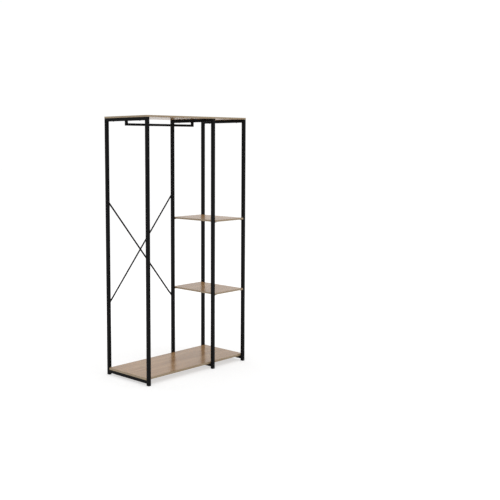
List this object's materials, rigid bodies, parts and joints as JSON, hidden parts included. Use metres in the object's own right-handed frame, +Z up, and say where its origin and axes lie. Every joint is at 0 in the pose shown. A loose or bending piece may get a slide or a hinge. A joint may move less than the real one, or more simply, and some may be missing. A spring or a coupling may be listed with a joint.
{
  "type": "open frame wardrobe",
  "caption": "Free-standing open wardrobe: black square-tube frames, oak-effect top, bottom and small side shelves, a hanging rail and crossed flat-bar braces at the back.",
  "frame": {"origin": "bottom centre of the whole object's box, on the floor", "axes": "+X to the right of someone who faces the wardrobe, +Y to its back, +Z up"},
  "size_m": [0.972, 0.4408, 1.8],
  "materials": {
    "black_steel": "satin black powder coat on steel",
    "oak_board": "satin oak-effect melamine on particle board",
    "black_plastic": "moulded black polyethylene",
    "black_fastener": "black zinc plate",
    "bare_steel": "plain steel"
  },
  "bodies": {
    "root": {"left_front_post": "black_steel", "left_front_glide": "black_plastic", "left_rear_post": "black_steel", "left_rear_glide": "black_plastic", "left_top_crossbar": "black_steel", "left_bottom_crossbar": "black_steel", "middle_front_post": "black_steel", "middle_front_glide": "black_plastic", "middle_rear_post": "black_steel", "middle_rear_glide": "black_plastic", "middle_top_crossbar": "black_steel", "middle_bottom_crossbar": "black_steel", "right_front_post": "black_steel", "right_front_glide": "black_plastic", "right_rear_post": "black_steel", "right_rear_glide": "black_plastic", "right_top_crossbar": "black_steel", "right_bottom_crossbar": "black_steel", "top_panel": "oak_board", "top_panel_screws": "black_fastener", "bottom_shelf": "oak_board", "bottom_shelf_screws": "black_fastener", "upper_shelf": "oak_board", "upper_shelf_screws": "black_fastener", "lower_shelf": "oak_board", "lower_shelf_screws": "black_fastener", "upper_shelf_tabs": "black_steel", "lower_shelf_tabs": "black_steel", "hanging_rail": "black_steel", "rail_left_leg": "black_steel", "rail_right_leg": "black_steel", "straight_brace": "black_steel", "cranked_brace": "black_steel", "brace_bolts": "black_fastener", "brace_centre_bolt": "black_fastener", "brace_centre_nut": "black_fastener", "rail_bolts": "black_fastener", "brace_nuts": "bare_steel", "rail_plugs": "bare_steel"}
  },
  "joints": []
}
